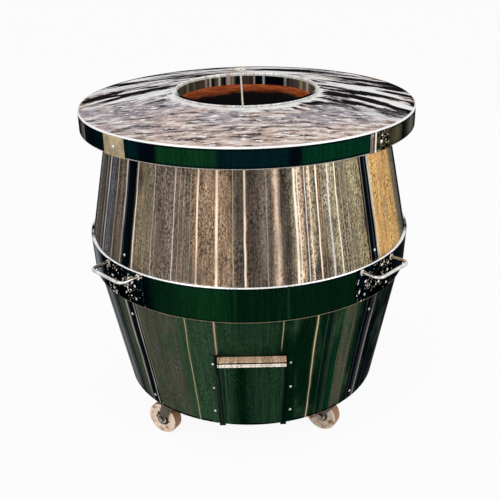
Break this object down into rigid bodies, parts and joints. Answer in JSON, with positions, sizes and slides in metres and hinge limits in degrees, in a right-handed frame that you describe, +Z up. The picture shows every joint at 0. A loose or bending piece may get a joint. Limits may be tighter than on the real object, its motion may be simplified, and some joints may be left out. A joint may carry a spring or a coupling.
{
  "type": "charcoal tandoor oven",
  "caption": "Free-standing barrel tandoor in polished stainless sheet with a clay pot, a wide skirted top plate, rod handles, a sliding air door and swivel casters.",
  "frame": {"origin": "on the floor, under the barrel's vertical axis", "axes": "+Z up along the barrel's axis, -Y towards the air door at the front, +X to the right as seen from the front"},
  "size_m": [0.86, 0.86, 0.9186],
  "materials": {
    "plate_steel": "satin",
    "bright_steel": "polished",
    "shell_steel": "brushed vertically",
    "barrel_steel": "mirror polished, dark reflections",
    "base_steel": "satin black",
    "fastener_steel": "plain",
    "clay": "unglazed, sooty inside",
    "fill": "ceramic fibre blanket",
    "firebrick": "cast refractory",
    "grate_iron": "rough casting",
    "caster_nylon": "satin nylon",
    "caster_steel": "zinc plated"
  },
  "bodies": {
    "barrel": {"top_plate": "plate_steel", "rim_skirt": "barrel_steel", "rim_clip_front_left": "plate_steel", "rim_clip_front_right": "plate_steel", "rim_clip_rear_right": "plate_steel", "rim_clip_rear_left": "plate_steel", "rim_clip_screws": "fastener_steel", "mouth_collar": "bright_steel", "upper_shell": "shell_steel", "middle_band": "barrel_steel", "lower_shell": "barrel_steel", "upper_strip_front_left": "barrel_steel", "upper_strip_front_right": "barrel_steel", "upper_strip_rear_right": "barrel_steel", "upper_strip_rear_left": "barrel_steel", "lower_strip_front_left": "barrel_steel", "lower_strip_front_right": "barrel_steel", "lower_strip_rear_right": "barrel_steel", "lower_strip_rear_left": "barrel_steel", "strip_rivets": "fastener_steel", "handle_front_left": "bright_steel", "handle_front_right": "bright_steel", "handle_rear_right": "bright_steel", "handle_rear_left": "bright_steel", "handle_plate_front_left": "barrel_steel", "handle_plate_front_right": "barrel_steel", "handle_plate_rear_right": "barrel_steel", "handle_plate_rear_left": "barrel_steel", "handle_rivets": "fastener_steel", "shutter_guide_left": "barrel_steel", "shutter_guide_right": "barrel_steel", "guide_rivets": "fastener_steel", "air_duct": "base_steel", "clay_pot": "clay", "insulation": "fill", "refractory_bed": "firebrick", "neck_seal": "firebrick", "base_plate": "base_steel", "base_frame": "base_steel", "caster_top_front_left": "caster_steel", "caster_top_front_right": "caster_steel", "caster_top_rear_right": "caster_steel", "caster_top_rear_left": "caster_steel", "caster_bolts": "fastener_steel"},
    "swivel_front_left": {"caster_fork_front_left": "caster_steel", "caster_axle_front_left": "fastener_steel"},
    "wheel_front_left": {"caster_wheel_front_left": "caster_nylon"},
    "swivel_front_right": {"caster_fork_front_right": "caster_steel", "caster_axle_front_right": "fastener_steel"},
    "wheel_front_right": {"caster_wheel_front_right": "caster_nylon"},
    "swivel_rear_right": {"caster_fork_rear_right": "caster_steel", "caster_axle_rear_right": "fastener_steel"},
    "wheel_rear_right": {"caster_wheel_rear_right": "caster_nylon"},
    "swivel_rear_left": {"caster_fork_rear_left": "caster_steel", "caster_axle_rear_left": "fastener_steel"},
    "wheel_rear_left": {"caster_wheel_rear_left": "caster_nylon"},
    "shutter": {"air_shutter": "barrel_steel"},
    "grate": {"fire_grate": "grate_iron"},
    "skewer": {"skewer": "bright_steel"}
  },
  "joints": [
    {"name": "swivel_front_left", "type": "hinge", "parent": "barrel", "child": "swivel_front_left", "pos_m": [-0.2192, -0.2192, 0.1], "axis": [0, 0, 1], "continuous": true},
    {"name": "roll_front_left", "type": "hinge", "parent": "swivel_front_left", "child": "wheel_front_left", "pos_m": [-0.24295, -0.20436, 0.045], "axis": [0.5299, 0.848, 0], "continuous": true},
    {"name": "swivel_front_right", "type": "hinge", "parent": "barrel", "child": "swivel_front_right", "pos_m": [0.2192, -0.2192, 0.1], "axis": [0, 0, 1], "continuous": true},
    {"name": "roll_front_right", "type": "hinge", "parent": "swivel_front_right", "child": "wheel_front_right", "pos_m": [0.19546, -0.20436, 0.045], "axis": [0.5299, 0.848, 0], "continuous": true},
    {"name": "swivel_rear_right", "type": "hinge", "parent": "barrel", "child": "swivel_rear_right", "pos_m": [0.2192, 0.2192, 0.1], "axis": [0, 0, 1], "continuous": true},
    {"name": "roll_rear_right", "type": "hinge", "parent": "swivel_rear_right", "child": "wheel_rear_right", "pos_m": [0.19546, 0.23404, 0.045], "axis": [0.5299, 0.848, 0], "continuous": true},
    {"name": "swivel_rear_left", "type": "hinge", "parent": "barrel", "child": "swivel_rear_left", "pos_m": [-0.2192, 0.2192, 0.1], "axis": [0, 0, 1], "continuous": true},
    {"name": "roll_rear_left", "type": "hinge", "parent": "swivel_rear_left", "child": "wheel_rear_left", "pos_m": [-0.24295, 0.23404, 0.045], "axis": [0.5299, 0.848, 0], "continuous": true},
    {"name": "shutter_slide", "type": "slide", "parent": "barrel", "child": "shutter", "axis": [0, -0.1832, 0.9831], "range_m": [0, 0.1]},
    {"name": "grate_lift", "type": "slide", "parent": "barrel", "child": "grate", "axis": [0, 0, 1], "range_m": [0, 0.45]},
    {"name": "skewer_lift", "type": "slide", "parent": "barrel", "child": "skewer", "axis": [0, 0, 1], "range_m": [0, 0.3]}
  ]
}
